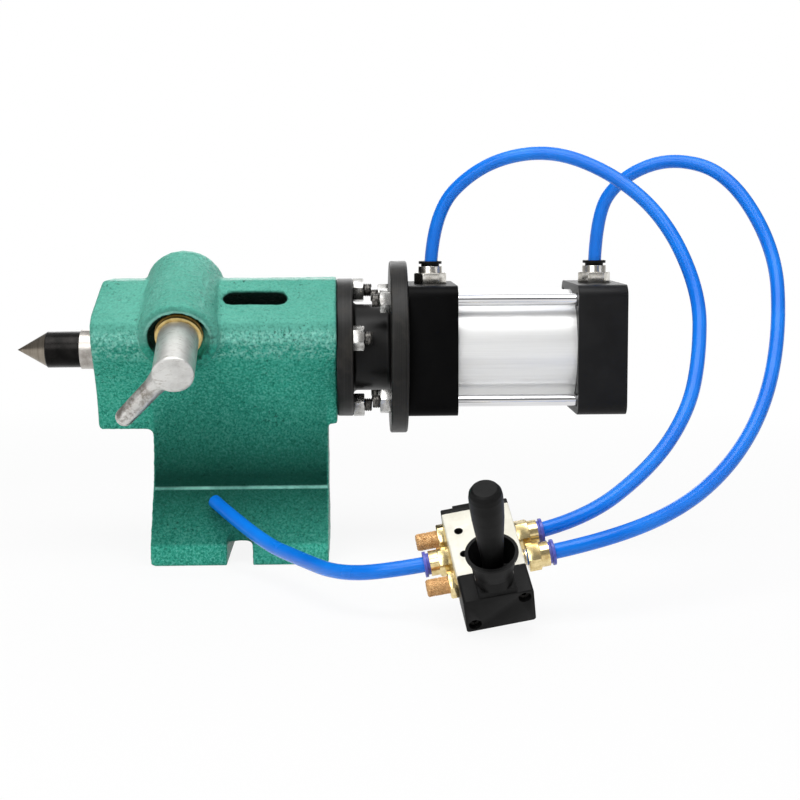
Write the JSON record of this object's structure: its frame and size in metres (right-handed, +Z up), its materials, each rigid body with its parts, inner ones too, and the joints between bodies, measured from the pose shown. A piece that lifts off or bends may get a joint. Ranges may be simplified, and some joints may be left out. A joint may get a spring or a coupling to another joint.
{
  "type": "lathe tailstock",
  "caption": "Pneumatic lathe tailstock: cast body with quill, dead centre and lever clamp, moved by a square-cap air cylinder through a lever valve and blue air tubes",
  "frame": {"origin": "centre of the base seat plane, straight below the quill's axis", "axes": "+X along the quill from the point towards the air cylinder, +Y away from the operator, +Z up"},
  "size_m": [0.4514, 0.3005, 0.2455],
  "materials": {
    "green_paint": "satin green enamel over rough sand-cast iron",
    "ground_steel": "ground hardened steel",
    "black_oxide": "black oxide on turned steel",
    "bright_steel": "bright turned steel, lightly scuffed",
    "zinc_steel": "zinc-plated steel",
    "bronze": "machined bronze",
    "black_cap": "black anodised aluminium",
    "aluminium_tube": "clear anodised aluminium",
    "nickel": "nickel-plated brass",
    "black_plastic": "moulded black plastic",
    "ivory_paint": "ivory satin coating on aluminium",
    "brass": "turned brass",
    "sintered_bronze": "sintered bronze grains",
    "violet_plastic": "moulded blue-violet plastic",
    "blue_tube": "smooth translucent blue polyurethane",
    "seal_rubber": "black nitrile rubber"
  },
  "bodies": {
    "tailstock": {"tailstock_casting": "green_paint", "quill_key": "ground_steel", "cylinder_adapter": "black_oxide", "adapter_studs": "zinc_steel", "adapter_nuts": "zinc_steel", "front_end_cap": "black_cap", "rear_end_cap": "black_cap", "cylinder_barrel": "aluminium_tube", "tie_rods": "ground_steel", "flange_nuts": "zinc_steel", "rear_tie_rod_nuts": "zinc_steel", "rod_guide_bush": "bronze", "rod_seal": "seal_rubber", "barrel_seals": "seal_rubber", "front_port_fitting": "nickel", "rear_port_fitting": "nickel", "clamp_washer": "bronze", "near_cotter": "bronze", "valve_body": "ivory_paint", "valve_end_cap": "black_plastic", "lever_housing": "black_plastic", "housing_screws": "black_oxide", "lever_boot": "black_plastic", "lever_pivot_pin": "ground_steel", "silencer_plugs": "brass", "silencer_elements": "sintered_bronze", "supply_fitting": "brass", "outlet_fitting_a": "brass", "outlet_fitting_b": "brass", "front_port_tube": "blue_tube", "rear_port_tube": "blue_tube", "supply_tube": "blue_tube"},
    "quill_group": {"quill": "ground_steel", "dead_centre": "ground_steel", "piston_rod": "ground_steel", "rod_lock_nut": "zinc_steel", "piston": "aluminium_tube", "piston_seal": "seal_rubber", "piston_nut": "zinc_steel"},
    "clamp_handle": {"lock_handle": "bright_steel", "clamp_screw": "ground_steel"},
    "far_clamp_cotter": {"far_cotter": "bronze"},
    "valve_lever": {"lever_shaft": "ground_steel", "lever_grip": "black_plastic"},
    "spool": {"valve_spool": "ground_steel"},
    "front_port_release": {"front_port_collar": "black_plastic"},
    "rear_port_release": {"rear_port_collar": "black_plastic"},
    "supply_release": {"supply_collar": "violet_plastic"},
    "outlet_release_a": {"outlet_collar_a": "violet_plastic"},
    "outlet_release_b": {"outlet_collar_b": "violet_plastic"}
  },
  "joints": [
    {"name": "quill_slide", "type": "slide", "parent": "tailstock", "child": "quill_group", "axis": [-1, 0, 0], "range_m": [0, 0.04]},
    {"name": "lock_turn", "type": "hinge", "parent": "tailstock", "child": "clamp_handle", "pos_m": [-0.033, -0.045, 0.1384], "axis": [0, -0.866, -0.5], "range_deg": [-60, 40]},
    {"name": "cotter_draw", "type": "slide", "parent": "tailstock", "child": "far_clamp_cotter", "axis": [0, -0.866, -0.5], "range_m": [-0.0002, 0.0003]},
    {"name": "valve_lever_tilt", "type": "hinge", "parent": "tailstock", "child": "valve_lever", "pos_m": [0.13542, -0.21049, 0.03114], "axis": [0.9846, 0.0327, 0.1719], "range_deg": [-8, 8]},
    {"name": "spool_shift", "type": "slide", "parent": "tailstock", "child": "spool", "axis": [-0.1218, 0.8332, 0.5394], "range_m": [-0.0026, 0.0026]},
    {"name": "front_port_release_push", "type": "slide", "parent": "tailstock", "child": "front_port_release", "axis": [0, 0, -1], "range_m": [0, 0.0012], "stiffness_N_per_m": 400},
    {"name": "rear_port_release_push", "type": "slide", "parent": "tailstock", "child": "rear_port_release", "axis": [0, 0, -1], "range_m": [0, 0.0012], "stiffness_N_per_m": 400},
    {"name": "supply_release_push", "type": "slide", "parent": "tailstock", "child": "supply_release", "axis": [0.9846, 0.0327, 0.1719], "range_m": [0, 0.0012], "stiffness_N_per_m": 400},
    {"name": "outlet_release_push_a", "type": "slide", "parent": "tailstock", "child": "outlet_release_a", "axis": [-0.9846, -0.0327, -0.1719], "range_m": [0, 0.0012], "stiffness_N_per_m": 400},
    {"name": "outlet_release_push_b", "type": "slide", "parent": "tailstock", "child": "outlet_release_b", "axis": [-0.9846, -0.0327, -0.1719], "range_m": [0, 0.0012], "stiffness_N_per_m": 400}
  ],
  "couplings": [
    {"joint": "cotter_draw", "follows": "lock_turn", "m_per_rad": -0.0002785},
    {"joint": "spool_shift", "follows": "valve_lever_tilt", "m_per_rad": 0.017}
  ]
}
